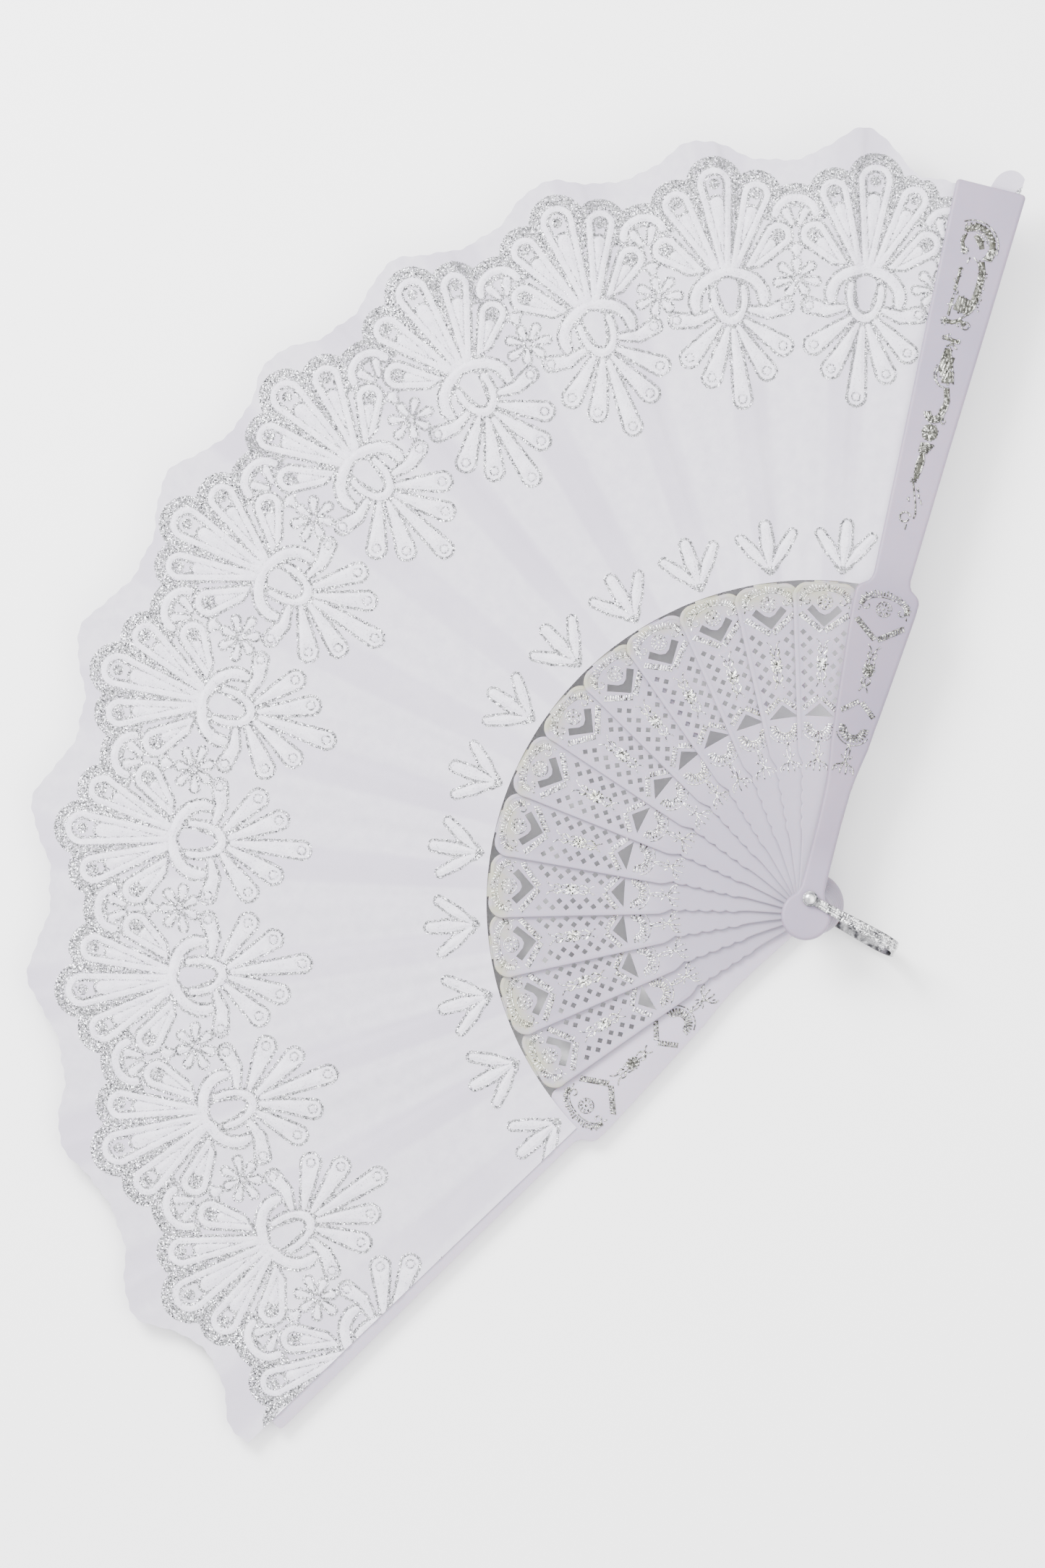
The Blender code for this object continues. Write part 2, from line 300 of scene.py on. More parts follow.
PLASTIC = moulded_plastic(
    "moulded_stick_plastic", (0.315, 0.288, 0.355, 1), (0.27, 0.243, 0.315, 1),
    neck_shade=0.06, stain=0.75, reached=0.056,
)
GUARD_PLASTIC = moulded_plastic(
    "moulded_guard_plastic", (0.275, 0.23, 0.302, 1), (0.212, 0.19, 0.268, 1), neck_shade=0.3
)
REAR_PLASTIC = moulded_plastic(
    "moulded_rear_plastic", (0.43, 0.385, 0.465, 1), (0.35, 0.32, 0.41, 1), neck_shade=0.04
)
FOIL = stamped_foil("silver_foil", (0.86, 0.86, 0.85, 1), (0.66, 0.65, 0.50, 1), 90, 3.1)
DULL_FOIL = stamped_foil("dulled_silver_foil", (0.55, 0.55, 0.52, 1), (0.10, 0.10, 0.08, 1), 260, 2.9)
# A thin dark sheet of painted shadow under the guard blade's strokes.
PAINTED_BLADE_SHADOW = stamped_foil(
    "dark_foil_ground", (0.115, 0.115, 0.10, 1), (0.06, 0.06, 0.045, 1), 320, 3.4
)
STEEL = plated_steel("nickel_plate", (0.05, 0.05, 0.055, 1), (0.42, 0.42, 0.43, 1))
BRIGHT_STEEL = plated_steel("burnished_nickel", (0.34, 0.34, 0.35, 1), (0.93, 0.93, 0.92, 1))
CLOTH = printed_cloth("printed_leaf_cloth")


# ---- modelling by hand


def deselect():
    bpy.ops.object.select_all(action="DESELECT")


def choose(obj):
    """Selects one object alone and makes it the active one."""
    deselect()
    obj.select_set(True)
    bpy.context.view_layer.objects.active = obj


def added(name):
    """Names the primitive that was just added, and returns it."""
    obj = bpy.context.view_layer.objects.active
    obj.name = name
    return obj


def discard(obj):
    bpy.data.objects.remove(obj, do_unlink=True)


def edit(obj):
    choose(obj)
    bpy.ops.object.mode_set(mode="EDIT")


def select_all():
    bpy.ops.mesh.select_all(action="SELECT")


def face_outwards():
    """Points every face of the closed shape in hand outwards; in edit mode."""
    select_all()
    bpy.ops.mesh.normals_make_consistent(inside=False)


def done():
    bpy.ops.object.mode_set(mode="OBJECT")


def pick(kind, test):
    """Selects what passes a test on its middle, in millimetres, and nothing else; in edit mode."""
    bpy.ops.mesh.select_all(action="DESELECT")
    obj = bpy.context.view_layer.objects.active
    work = bmesh.from_edit_mesh(obj.data)
    for item in getattr(work, kind):
        corners = [item] if kind == "verts" else item.verts
        middle = sum((corner.co for corner in corners), Vector()) / len(corners) / MM
        if test(middle, item):
            item.select_set(True)
    work.select_flush(True)
    bmesh.update_edit_mesh(obj.data)


def apply_modifier(obj, kind, **settings):
    choose(obj)
    modifier = obj.modifiers.new(kind.lower(), kind)
    for name, value in settings.items():
        setattr(modifier, name, value)
    bpy.ops.object.modifier_apply(modifier=modifier.name)


def cut(obj, cutter, operation="DIFFERENCE"):
    apply_modifier(obj, "BOOLEAN", operation=operation, object=cutter, solver="EXACT")
    discard(cutter)


def soften(obj, width, segments, angle):
    """Bevels every edge that is sharper than an angle."""
    limit = {"limit_method": "ANGLE", "angle_limit": math.radians(angle)}
    apply_modifier(obj, "BEVEL", width=width * MM, segments=segments, **limit)


def plate(name, outline, low, high):
    """A flat plate: a filled ring of corners, each moved to its place, drawn up to its thickness."""
    deselect()
    bpy.ops.mesh.primitive_circle_add(vertices=len(outline), radius=MM, fill_type="NGON")
    obj = added(name)
    for corner, (u, v) in zip(obj.data.vertices, outline):
        corner.co = (u * MM, v * MM, low * MM)
    edit(obj)
    select_all()
    bpy.ops.mesh.extrude_region_move(TRANSFORM_OT_translate={"value": (0, 0, (high - low) * MM)})
    face_outwards()
    done()
    return obj


def round_rim(obj, height, width, segments):
    """Rounds the edges that lie round the rim at one height."""

    def at_height(middle, edge):
        return all(abs(corner.co.z / MM - height) < 0.01 for corner in edge.verts)

    edit(obj)
    bpy.ops.mesh.select_mode(type="EDGE")
    pick("edges", at_height)
    bpy.ops.mesh.bevel(offset=width * MM, segments=segments, affect="EDGES", profile=0.6)
    done()


def smooth(obj, angle):
    choose(obj)
    bpy.ops.object.shade_smooth_by_angle(angle=math.radians(angle))


def turned_copy(source, name, angle, lift):
    """A copy with its own mesh, its +Y turned to an angle round the rivet and raised by lift."""
    obj = bpy.data.objects.new(name, source.data.copy())
    bpy.context.scene.collection.objects.link(obj)
    turn = Matrix.Rotation(math.radians(angle - 90), 4, "Z")
    obj.data.transform(Matrix.Translation((0, 0, lift * MM)) @ turn)
    return obj


def finish_piece(obj, material, body):
    obj.data.materials.clear()
    obj.data.materials.append(material)
    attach(obj, body)


def arc(centre, radius, start, end, steps):
    """Points on an arc, its angles in degrees from +u towards +v."""
    angles = [math.radians(start + (end - start) * i / steps) for i in range(steps + 1)]
    return [(centre[0] + radius * math.cos(a), centre[1] + radius * math.sin(a)) for a in angles]


def circle(centre, radius, corners):
    return arc(centre, radius, 0, 360, corners)[:-1]


def mirrored(points):
    return [(-u, v) for u, v in reversed(points)]


# ---- sticks and guards


GORGE_TOP = 94.5
PIN_HOLE = 1.75
GUARD_LENGTH = 219.5
PANEL_DEPTH = 0.12
DIAMOND = 0.95
HEART = [(0, 81.2), (5.2, 86.2), (3.7, 87.8), (1.5, 85.5), (0, 84.9)]


def gorge_half(v):
    """Half the width of a gorge, which widens outwards."""
    return 2.2 + 0.0815 * v


def gorge_corner(radius):
    """The rounded top corner of a gorge."""
    return arc((gorge_half(GORGE_TOP) - 4.8, GORGE_TOP - 4.6), radius, 4, 90, 10)


def head_side(drop, radius):
    """Half of the round head, whose middle lies below the rivet."""
    return arc((0, -drop), radius, -90, 60, 24)


def stick_outline():
    """Half of the outline and its mirror: round head, slim neck, five scallops and the gorge."""
    side = head_side(3.4, 6.9)[:-1] + [(3.5, 3.0), (3.35, 6.0), (3.3, 12.0), (3.3, 18.0)]
    for i in range(5):
        low = 20.5 + 4.0 * i
        base = 3.35 + 0.15 * i
        for t in (0.04, 0.2, 0.4, 0.6, 0.8, 0.96):
            side.append((base + 0.62 * math.sin(math.pi * t) ** 0.7, low + 4.0 * t))
    side += [(4.6, 41.3), (5.2, 42.4)] + [(gorge_half(v), v) for v in (44, 70, 88)]
    side += gorge_corner(4.6)
    return side + mirrored(side)[:-1]


def guard_outline(drop, radius):
    side = head_side(drop, radius)[:-1]
    side += [(3.6, 3.2), (3.5, 8.0), (3.5, 24.0), (3.8, 34.0), (4.3, 38.5), (5.0, 43.0), (5.7, 47.0)]
    side += [(6.1, 52.0), (7.4, 65.0), (8.6, 78.0), (9.6, 89.0)]
    side += arc((6.2, 92.2), 3.5, 5, 60, 8)
    side += [(6.6, 96.2), (5.9, 97.4), (5.6, 99.0), (7.2, 140), (9.0, 180)]
    side += arc((9.4, GUARD_LENGTH - 1.2), 1.2, 0, 90, 5)
    return side + mirrored(side)[:-1]


def prism_cutters(low, high):
    """The shapes that pierce a gorge, joined into one cutter."""
    triangle = [(-4.3, 54.6), (4.3, 54.6), (0, 58.5)]
    shapes = [HEART + mirrored(HEART)[1:-1], triangle, circle((0, 0), PIN_HOLE, 40)]
    for side in (-1, 1):
        for i in range(5):
            shapes.append(circle((side * (2.65 + 0.33 * i), 61.6 + 4.0 * i), DIAMOND, 4))
        for i in range(6):
            shapes.append(circle((side * (4.45 + 0.31 * i), 59.5 + 4.0 * i), DIAMOND, 4))
    cutters = [plate("cutter", shape, low, high) for shape in shapes]
    deselect()
    for cutter in cutters:
        cutter.select_set(True)
    bpy.context.view_layer.objects.active = cutters[0]
    bpy.ops.object.join()
    return cutters[0]


def panel_outline():
    """The sunk panel of a gorge, which leaves a raised rim round its sides and top."""
    side = [(gorge_half(v) - 1.2, v) for v in (47.6, 60, 75, 88)]
    side += gorge_corner(3.4)
    return side + mirrored(side)


def model_stick(thickness):
    """One stick at height 0: the pierced, rounded plate and the thin rib that carries the leaf."""
    body = plate("stick_model", stick_outline(), 0, thickness)
    round_rim(body, thickness, 0.42, 3)
    rib_side = [(3.5, 91.0), (2.4, 212.0), (1.6, 214.0)]
    rib = plate("rib", rib_side + mirrored(rib_side), 0.05, 0.42)
    cut(body, rib, "UNION")
    cut(body, plate("cutter", panel_outline(), thickness - PANEL_DEPTH, thickness + 1))
    cut(body, prism_cutters(-1, thickness + 1))
    soften(body, 0.1, 2, 50)
    smooth(body, 40)
    return body


def model_guard(thickness, outer_up):
    """A guard at height 0. Its outer face has a broad rounded edge."""
    head = (4.9, 7.3) if outer_up else (3.4, 7.0)
    body = plate("guard_model", guard_outline(*head), 0, thickness)
    round_rim(body, thickness if outer_up else 0, 1.2, 5)
    round_rim(body, 0 if outer_up else thickness, 0.25, 2)
    cut(body, plate("cutter", circle((0, 0), PIN_HOLE, 40), -1, thickness + 1))
    smooth(body, 40)
    return body


# ---- foil-stamped relief


class Relief:
    """Raised foil marks in one mesh, laid on a face at height 0. Its weight widens the bars."""

    def __init__(self, name, rise, weight=1.0):
        deselect()
        bpy.ops.mesh.primitive_cube_add(size=MM)
        self.obj = added(name)
        self.rise = rise
        self.base = 0.0
        self.weight = weight
        self.count = 0
        edit(self.obj)
        bpy.ops.mesh.delete(type="VERT")

    def bar(self, start, end, width):
        """A straight raised bar, not quite as high as the last, so that crossing tops don't meet."""
        run = Vector(end) - Vector(start)
        middle = (Vector(start) + Vector(end)) / 2
        self.count += 1
        rise = self.rise + 0.007 * (self.count % 7)
        bpy.ops.mesh.primitive_cube_add(
            size=MM,
            location=(middle.x * MM, middle.y * MM, (self.base + rise / 2 - 0.03) * MM),
            rotation=(0, 0, math.atan2(run.y, run.x)),
            scale=(run.length + width * 0.3, width * self.weight, rise + 0.06),
        )

    def line(self, points, width):
        for start, end in zip(points, points[1:]):
            self.bar(start, end, width)

    def bud(self, centre, length, width, angle):
        """A small domed petal, its length turned to an angle in degrees."""
        bpy.ops.mesh.primitive_uv_sphere_add(
            segments=8,
            ring_count=6,
            radius=MM / 2,
            location=(centre[0] * MM, centre[1] * MM, self.base * MM),
            rotation=(0, 0, math.radians(angle)),
            scale=(length, width, self.rise * 2),
        )

    def ladder(self, start, end, rungs, height, lean):
        """A rail with leaning rungs on it, running from start to end."""
        run = Vector(end) - Vector(start)
        along = run.normalized()
        up = Vector((-along.y, along.x)) * height / 2
        for i in range(rungs):
            foot = Vector(start) + run * ((i + 0.5) / rungs)
            self.bar(foot - up, foot + up + along * lean, 0.42)
        self.bar(Vector(start) - up, Vector(end) - up, 0.2)

    def rays(self, centre, inner, outer, start, end, count, width):
        for i in range(count):
            turned = math.radians(start + (end - start) * i / (count - 1))
            away = Vector((math.cos(turned), math.sin(turned)))
            self.bar(Vector(centre) + away * inner, Vector(centre) + away * outer, width)

    def scroll(self, centre, radius, start, end, width, shrink=0.35):
        """A line that curls in towards its centre."""
        steps = max(6, int(abs(end - start) / 24))
        points = []
        for i in range(steps + 1):
            share = i / steps
            turned = math.radians(start + (end - start) * share)
            reach = radius * (1 - (1 - shrink) * share)
            points.append((centre[0] + reach * math.cos(turned), centre[1] + reach * math.sin(turned)))
        self.line(points, width)

    def finished(self, bevel=0.07):
        done()
        apply_modifier(self.obj, "BEVEL", width=bevel * MM, segments=1, limit_method="ANGLE")
        smooth(self.obj, 50)
        return self.obj


def gorge_marks(relief, pierced):
    """The stamped ornament of a gorge, from its arch down to its drop."""
    jitter = random.Random(7)
    relief.base = -PANEL_DEPTH if pierced else 0.0
    # The hatched arch, with a curl at each foot.
    for i in range(27):
        turned = math.radians(-8 + 196 * i / 26)
        foot = Vector((6.5 * math.cos(turned), 89.2 + 3.5 * math.sin(turned)))
        away = Vector((math.cos(turned), 0.75 * math.sin(turned) + 0.25)).normalized()
        relief.bar(foot, foot + away * jitter.uniform(1.0, 1.7), 0.34)
    arch = [t / 10 for t in range(-1, 33, 2)]
    relief.line([(6.2 * math.cos(t), 89.0 + 3.2 * math.sin(t)) for t in arch], 0.24)
    for side in (-1, 1):
        relief.scroll((side * 5.2, 88.9), 1.5, 90 - side * 60, 90 - side * 330, 0.26)
        relief.bud((side * 7.1, 87.4), 1.4, 0.5, 90 + side * 20)
    # The rosette.
    for i in range(9):
        turned = 360 * i / 9
        away = math.radians(turned)
        relief.bud((1.45 * math.cos(away), 88.7 + 1.45 * math.sin(away)), 1.15, 0.6, turned)
    relief.scroll((0, 88.7), 2.25, 0, 340, 0.2, 1.0)
    relief.bud((0, 88.7), 0.9, 0.9, 0)
    # The V of two ladders below the heart, and the peaked pair above the triangle.
    lower = 0 if pierced else 0.6
    for side in (-1, 1):
        relief.ladder((side * 7.4, 85.2 - lower), (side * 0.5, 80.0 - lower), 11, 1.5, 0.3)
        relief.ladder((side * 0.3, 60.5), (side * 4.9, 56.6), 7, 1.3, 0.2)
    # The flower spray in the middle.
    for i in range(4):
        v = 66.0 + 2.6 * i
        for side in (-1, 1):
            relief.bud((side * 0.95, v), 2.1, 0.7, 90 - side * 38)
            relief.bud((side * 1.2, v + 1.25), 1.35, 0.5, 90 + side * 25)
        relief.line([(0.5 * math.sin(v), v - 1.2), (0.4 * math.sin(v + 2), v + 1.4)], 0.25)
    relief.rays((0, 70.2), 0.5, 1.9, 0, 324, 10, 0.42)
    relief.bud((0, 70.2), 0.95, 0.95, 0)
    for side in (-1, 1):
        relief.line([(side * 0.4, 75.0), (side * 0.9, 76.6), (side * 1.9, 77.6)], 0.24)
        relief.line([(side * 0.3, 65.2), (side * 1.0, 64.2), (side * 1.3, 63.4)], 0.24)
    # The half rosette, its rays and its outer line.
    relief.line(arc((0, 52.3), 2.3, 185, 355, 8), 0.32)
    relief.rays((0, 52.3), 2.7, 4.4, 178, 362, 15, 0.4)
    relief.line(arc((0, 52.3), 5.2, 205, 335, 9), 0.22)
    relief.base = 0.0
    # The drop: a loop on a stem, with a curling flourish on each side.
    drop = [(0, 47.4), (0.55, 45.6), (0.45, 43.6), (0, 42.0), (-0.5, 43.6), (-0.55, 45.6), (0, 47.4)]
    relief.line(drop, 0.26)
    flourish = [(0, 42.2), (1.1, 41.2), (2.2, 40.9), (3.0, 40.0), (3.1, 38.7)]
    for side in (-1, 1):
        relief.line([(side * u, v) for u, v in flourish], 0.28)
        relief.line([(side * 0.3, 41.6), (side * 0.9, 40.0), (side * 0.9, 38.4)], 0.26)
        relief.bud((side * 1.3, 43.4), 1.6, 0.45, 90 - side * 40)
        relief.bud((side * 2.1, 39.7), 1.3, 0.4, 90 + side * 30)


def blade_marks(relief):
    """The guard's long scrolling leaf, from the great curl near its tip to the small last one."""
    relief.weight = 1.5

    def curl(reach, turned):
        away = math.radians(turned)
        return -1.2 + reach * math.cos(away), 200.8 + reach * math.sin(away)

    # The great curl: its back, the teeth under it, a beaded line, two inner lines and a bold comb.
    relief.line([curl(7.7, 122 - 13 * i) for i in range(11)], 0.26)
    for i in range(9):
        turned = 118 - 12 * i
        relief.line([curl(7.0, turned), curl(6.0, turned + 4), curl(5.0, turned + 12)], 0.36)
    for i in range(12):
        relief.bar(curl(4.5, 118 - 9 * i), curl(4.5, 113 - 9 * i), 0.34)
    for reach, start, steps in ((3.6, 84, 5), (2.7, 80, 6), (1.7, 70, 6)):
        relief.line([curl(reach, start - 13 * i) for i in range(steps)], 0.3)
    for i in range(6):
        relief.bar(curl(5.0, -8 - 6 * i), curl(7.2, 4 - 6 * i), 0.5)
    relief.line([(-3.6, 204.0), (-4.6, 203.0), (-4.8, 201.2), (-4.1, 199.4)], 0.3)
    relief.rays((-3.1, 198.9), 0.3, 1.2, 0, 310, 8, 0.34)
    relief.line([(0.1, 197.4), (1.9, 196.0), (2.8, 194.2)], 0.28)
    relief.line([(1.9, 197.0), (3.7, 194.5), (4.4, 193.1)], 0.28)
    relief.line([(-1.0, 197.2), (-1.6, 195.2)], 0.28)
    # The chain of leaves down the right side, and the little scrolls down the left.
    chain = [(4.1, 194.5), (4.6, 191.6), (4.3, 188.8), (4.4, 185.2), (3.5, 181.6), (1.9, 179.8)]
    chain.append((0.1, 178.3))
    relief.line(chain, 0.3)
    relief.line([(u - 0.85, v + 0.2) for u, v in chain[1:6]], 0.22)
    for i in range(11):
        v = 194.0 - 1.15 * i
        relief.bar((4.1, v), (2.7 - 0.25 * math.sin(i), v + 1.5), 0.32)
        relief.bud((4.9 + 0.3 * math.sin(2 * i), v - 0.5), 1.0, 0.5, 60 * i)
    for i in range(5):
        centre = (-3.0 + 0.4 * math.sin(2 * i), 193.0 - 1.7 * i)
        relief.scroll(centre, 0.75, 70 * i, 70 * i + 280, 0.28)
    relief.line([(-3.1, 185.6), (-2.8, 184.2), (-3.1, 181.0), (-3.0, 178.6)], 0.28)
    relief.line([(-4.2, 181.9), (-2.9, 182.3), (-1.3, 182.0)], 0.28)
    for i in range(5):
        u = -0.9 + 0.85 * i
        foot = (u + 0.5 - 0.15 * i, 180.0 + 0.2 * i)
        relief.line([(u, 185.6 - 0.5 * abs(i - 1)), (u + 0.05, 182.4), foot], 0.32)
    relief.line([(-4.0, 178.0), (-3.1, 176.7), (-1.2, 177.0), (0.3, 178.2), (1.9, 179.8)], 0.3)
    relief.rays((-3.7, 176.9), 0.3, 1.3, 40, 330, 7, 0.3)
    relief.scroll((2.6, 176.8), 1.3, 0, 350, 0.26, 0.8)
    relief.scroll((0.6, 176.6), 0.9, 40, 300, 0.26)
    # The bow and the leaf that hangs from it.
    for u, v, turned in ((-2.5, 171.9, 20), (-1.1, 172.5, 80), (0.4, 171.6, 150), (1.6, 171.9, 220)):
        relief.scroll((u, v), 0.9, turned, turned + 290, 0.3)
    relief.line([(-1.4, 169.6), (0.2, 170.6), (1.9, 169.4)], 0.36)
    left = [(-1.4, 169.0), (-1.9, 163.3), (-2.3, 161.1), (-1.8, 159.0), (-0.4, 157.5), (1.0, 157.4)]
    relief.line(left, 0.3)
    relief.line([(u - 0.7, v + 0.3) for u, v in left[1:5]], 0.22)
    relief.line([(-0.2, 169.6), (1.2, 166.0), (2.4, 162.6), (3.4, 159.0)], 0.3)
    for top, foot in (
        ((-0.8, 167.4), (-1.5, 161.4)), ((0.0, 166.2), (-0.9, 160.2)),
        ((0.8, 165.1), (-0.2, 159.2)), ((1.4, 163.3), (0.6, 158.9)), ((2.4, 161.2), (1.8, 158.3)),
    ):
        relief.bar(top, foot, 0.42)
    # The twisted stalk and the plume of nested curves below it.
    relief.line([(1.2, 157.2), (2.2, 154.7), (2.2, 152.6), (1.4, 150.4)], 0.34)
    relief.line([(2.2, 157.4), (3.5, 153.8), (3.3, 151.0), (2.6, 148.6)], 0.34)
    relief.line([(1.8, 156.0), (2.9, 153.2), (2.7, 151.0), (2.0, 149.2)], 0.34)
    for reach in (1.2, 1.8, 2.4, 3.0):
        relief.line(arc((0.1, 149.4), reach, 185, 350, 7), 0.34)
    relief.scroll((3.2, 147.3), 0.7, 0, 330, 0.28, 0.8)
    # The knot: a burst of short leaves over a binding.
    relief.rays((0.2, 143.2), 0.6, 2.0, 0, 332, 13, 0.42)
    for i in range(8):
        away = math.radians(45 * i + 15)
        relief.bud((0.3 + 2.2 * math.cos(away), 143.4 + 2.5 * math.sin(away)), 1.2, 0.55, 45 * i + 80)
    for i in range(6):
        v = 139.9 - 0.55 * i
        relief.line([(-1.7, v - 0.2), (0.1, v + 0.1), (2.4 - 0.3 * i, v - 0.3)], 0.34)
    # The long pod, its stem with buds, and the last curl.
    relief.line([(-0.7, 136.9), (-1.4, 133.6), (-1.2, 130.6), (-0.7, 128.7)], 0.36)
    relief.line([(0.0, 136.9), (0.7, 134.4), (0.4, 131.0), (-0.7, 128.7)], 0.36)
    relief.rays((-1.0, 128.2), 0.2, 1.0, 20, 340, 6, 0.3)
    relief.line([(-0.9, 127.8), (0.3, 124.2), (1.2, 121.9), (2.0, 118.8), (1.8, 117.2)], 0.32)
    for u, v, turned in ((0.9, 126.0, 70), (1.5, 124.3, 10), (-1.2, 122.7, 60), (2.6, 122.6, 100)):
        relief.bud((u, v), 1.3, 0.6, turned)
        relief.bar((u, v), (u + 0.5, v - 0.9), 0.26)
    relief.scroll((-0.8, 116.9), 1.7, 20, 350, 0.34, 0.75)
    relief.line([(0.2, 115.0), (0.1, 113.4)], 0.28)


def lay_painted_blade_shadow(relief):
    """A thin dark sheet under the scrolling leaf: painted shadow that shows between its strokes."""
    for points, width in (
        ([(-4.0, 205.2), (-1.0, 206.9), (2.2, 205.9), (4.3, 203.4), (5.0, 200.2), (4.7, 197.9)], 1.9),
        ([(-0.9, 203.9), (0.9, 202.6), (1.7, 200.6)], 1.6),
        ([(-3.9, 203.6), (-4.3, 201.3), (-3.2, 198.9)], 0.9),
        ([(2.6, 196.4), (3.6, 193.6), (3.7, 190.5), (3.6, 187.0), (3.2, 183.6), (1.9, 180.6)], 2.1),
        ([(-3.0, 193.4), (-2.9, 190.0), (-3.1, 186.6)], 0.9),
        ([(-1.2, 183.0), (2.5, 182.4)], 4.6),
        ([(-3.1, 184.0), (-3.1, 179.0)], 0.9),
        ([(-3.9, 177.3), (-1.6, 176.9), (0.6, 178.0), (2.4, 177.0)], 1.3),
        ([(-2.4, 171.9), (1.7, 171.7)], 1.1),
        ([(-0.2, 168.8), (-0.6, 165.4), (-0.8, 161.8)], 2.0),
        ([(0.9, 166.6), (0.6, 162.2), (0.9, 159.0)], 2.2),
        ([(2.2, 162.4), (2.3, 159.4)], 1.4),
        ([(1.8, 157.3), (2.8, 153.9), (2.6, 151.2), (2.0, 149.2)], 1.8),
        (arc((0.1, 149.4), 2.1, 190, 345, 7), 2.2),
        ([(-1.2, 139.5), (2.0, 139.6)], 1.0),
        ([(-1.0, 138.5), (1.6, 138.6)], 1.0),
        ([(-0.8, 137.5), (1.0, 137.6)], 1.0),
        ([(-0.4, 136.6), (-0.4, 129.2)], 1.6),
    ):
        relief.line(points, width)
    relief.bud((0.2, 143.3), 5.2, 5.4, 0)


def make_sticks():
    low, high = heights("stick_01")
    thickness = high - low
    model = model_stick(thickness)
    relief = Relief("foil_model", 0.17)
    gorge_marks(relief, True)
    foil = relief.finished()
    for i in STICKS:
        node = f"stick_{i:02d}"
        bottom = heights(node)[0]
        stick = turned_copy(model, f"pierced_{node}", ANGLES[i], bottom)
        finish_piece(stick, PLASTIC, BODIES[i])
        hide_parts(node)
        marks = turned_copy(foil, f"foil_on_{node}", ANGLES[i], bottom + thickness)
        finish_piece(marks, FOIL, BODIES[i])
    discard(model)
    discard(foil)


def lay_on_guard(model, name, material, index, height):
    """Turns a model made upright to a guard's place and finishes it there."""
    obj = turned_copy(model, name, ANGLES[index], height)
    discard(model)
    finish_piece(obj, material, BODIES[index])
    return obj


def make_guards():
    for node, index, outer_up in (("rear_guard", 0, False), ("front_guard", LAST, True)):
        low, high = heights(node)
        plastic = GUARD_PLASTIC if outer_up else REAR_PLASTIC
        guard = lay_on_guard(model_guard(high - low, outer_up), f"moulded_{node}", plastic, index, low)
        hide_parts(node)
        relief = Relief("foil_model", 0.2, 1.35)
        gorge_marks(relief, False)
        if outer_up:
            blade_marks(relief)
        lay_on_guard(relief.finished(), f"foil_on_{node}", DULL_FOIL, index, high)
        if outer_up:
            # Painted shadow: a thin dark sheet under the blade's strokes.
            relief = Relief("ground_model", 0.045)
            lay_painted_blade_shadow(relief)
            lay_on_guard(relief.finished(0.03), f"foil_ground_on_{node}", PAINTED_BLADE_SHADOW, index, high)


# ---- the leaf and its print


LEAF_INNER = 95.2
LEAF_PAST_REAR_GUARD = 1.8
LEAF_PAST_FRONT_GUARD = 2.3
CLOTH_THICKNESS = 0.2
PRINT_RISE = 0.34
GLITTER_RISE = 0.1
EDGE_PEAKS = (15.6, 26.6, 39.4, 51.4, 64.2, 75.6, 87.2, 100.5, 113.6, 126.5, 138.6, 152.2, 164.0)
EDGE_TOPS = (219.0, 231.5, 229.5, 228.5, 227.5, 227.5, 229, 230.5, 231.5, 231.5, 231.5, 233, 230)
EDGE_HOLLOWS = (218.6, 221.5, 222.5, 220.5, 221.0, 221.5, 222, 222, 224, 225, 224.5, 221.5, 222)
MOTIF_START = 25.75
MOTIF_STEP = 12.77
MOTIF_RADIUS = 181.6
SPRIG_START = 25.3
SPRIG_STEP = 12.43
SPRIG_RADIUS = 98.8
SPRIGS_END = 118
BORDER_START = 146
EVEN_ROWS_END = 217
LEAF_DEPTH = 135
LOBE_END = 17.2
LOBE_ANGLE = 15.35
LOBE_HALF = 1.45
LOBE_RISE = 7.6
GLUED_HALF = 2.9
COLUMNS_PER_DEGREE = 7


def edge_radius(angle):
    """The scalloped outer edge: rounded peaks, each with its own height, and a hollow after each.

    Where the leaf runs on past the front guard, it ends in one round lobe.
    """
    peaks = [EDGE_PEAKS[0] - 11.5, *EDGE_PEAKS, EDGE_PEAKS[-1] + 12]
    tops = [EDGE_TOPS[0], *EDGE_TOPS, EDGE_TOPS[-1]]
    hollows = [EDGE_HOLLOWS[0], *EDGE_HOLLOWS]
    radius = np.full_like(angle, EDGE_HOLLOWS[0])
    for i, hollow in enumerate(hollows):
        share = (angle - peaks[i]) / (peaks[i + 1] - peaks[i])
        before = tops[i] - hollow
        after = tops[i + 1] - hollow
        wave = (0.5 + 0.5 * np.cos(2 * math.pi * np.clip(share, 0, 1))) ** 1.5
        part = hollow + np.where(share < 0.5, before, after) * wave
        radius = np.where((share >= 0) & (share <= 1), part, radius)
    radius = radius + 0.3 * np.sin(angle * 1.9) + 0.2 * np.sin(angle * 5.3)
    lobe = LOBE_RISE * np.sqrt(np.clip(1 - ((angle - LOBE_ANGLE) / LOBE_HALF) ** 2, 0, 1))
    return np.where(angle < LOBE_END, np.minimum(radius, EDGE_HOLLOWS[0]) + lobe, radius)


def stroke(x, y, points, halves):
    """How far outside a stroke each place is, negative inside; halves is its half width by point."""
    best = np.full_like(x, 1e3)
    if not hasattr(halves, "__len__"):
        halves = [halves] * len(points)
    for (ax, ay), (bx, by), a_half, b_half in zip(points, points[1:], halves, halves[1:]):
        dx, dy = bx - ax, by - ay
        t = np.clip(((x - ax) * dx + (y - ay) * dy) / (dx * dx + dy * dy), 0, 1)
        away = np.hypot(x - ax - t * dx, y - ay - t * dy)
        best = np.minimum(best, away - (a_half + (b_half - a_half) * t))
    return best


